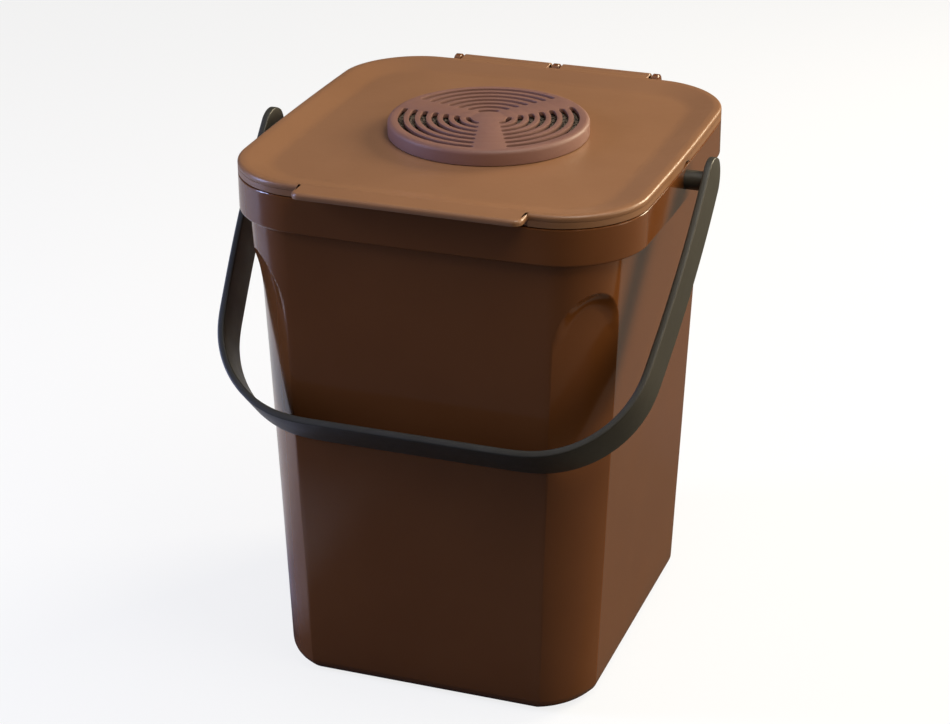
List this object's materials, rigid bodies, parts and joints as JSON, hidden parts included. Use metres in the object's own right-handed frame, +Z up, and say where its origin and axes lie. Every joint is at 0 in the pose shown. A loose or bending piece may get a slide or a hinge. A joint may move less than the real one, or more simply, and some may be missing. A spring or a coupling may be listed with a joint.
{
  "type": "compost caddy",
  "caption": "Square compost caddy with a hinged lid, a vented cover over a carbon filter and a strap bail handle.",
  "frame": {"origin": "centre of the base, on the surface that the caddy stands on", "axes": "+Z up, front with the lifting lip faces -Y, hinge at +Y, +X to the right seen from the front"},
  "size_m": [0.2544, 0.2564, 0.2979],
  "materials": {
    "bin_plastic": "glossy brown, injection moulded",
    "lid_plastic": "satin brown, injection moulded",
    "cover_plastic": "matte mauve brown",
    "filter_foam": "open pored carbon foam",
    "handle_plastic": "semi-matte dark olive black"
  },
  "bodies": {
    "bin": {"bin_body": "bin_plastic", "hinge_rod": "bin_plastic"},
    "lid_assembly": {"lid": "lid_plastic"},
    "cover": {"vent_cover": "cover_plastic"},
    "filter": {"carbon_filter": "filter_foam"},
    "bail": {"handle": "handle_plastic"}
  },
  "joints": [
    {"name": "lid_hinge", "type": "hinge", "parent": "bin", "child": "lid_assembly", "pos_m": [0, 0.122, 0.287], "axis": [-1, 0, 0], "range_deg": [0, 110]},
    {"name": "bail_swing", "type": "hinge", "parent": "bin", "child": "bail", "pos_m": [0, -0.002, 0.278], "axis": [-1, 0, 0], "range_deg": [0, 265]},
    {"name": "cover_lift", "type": "slide", "parent": "lid_assembly", "child": "cover", "axis": [0, 0, 1], "range_m": [0, 0.06]},
    {"name": "filter_lift", "type": "slide", "parent": "lid_assembly", "child": "filter", "axis": [0, 0, 1], "range_m": [0, 0.03]}
  ],
  "couplings": [
    {"joint": "filter_lift", "follows": "cover_lift", "ratio": 0.5}
  ]
}
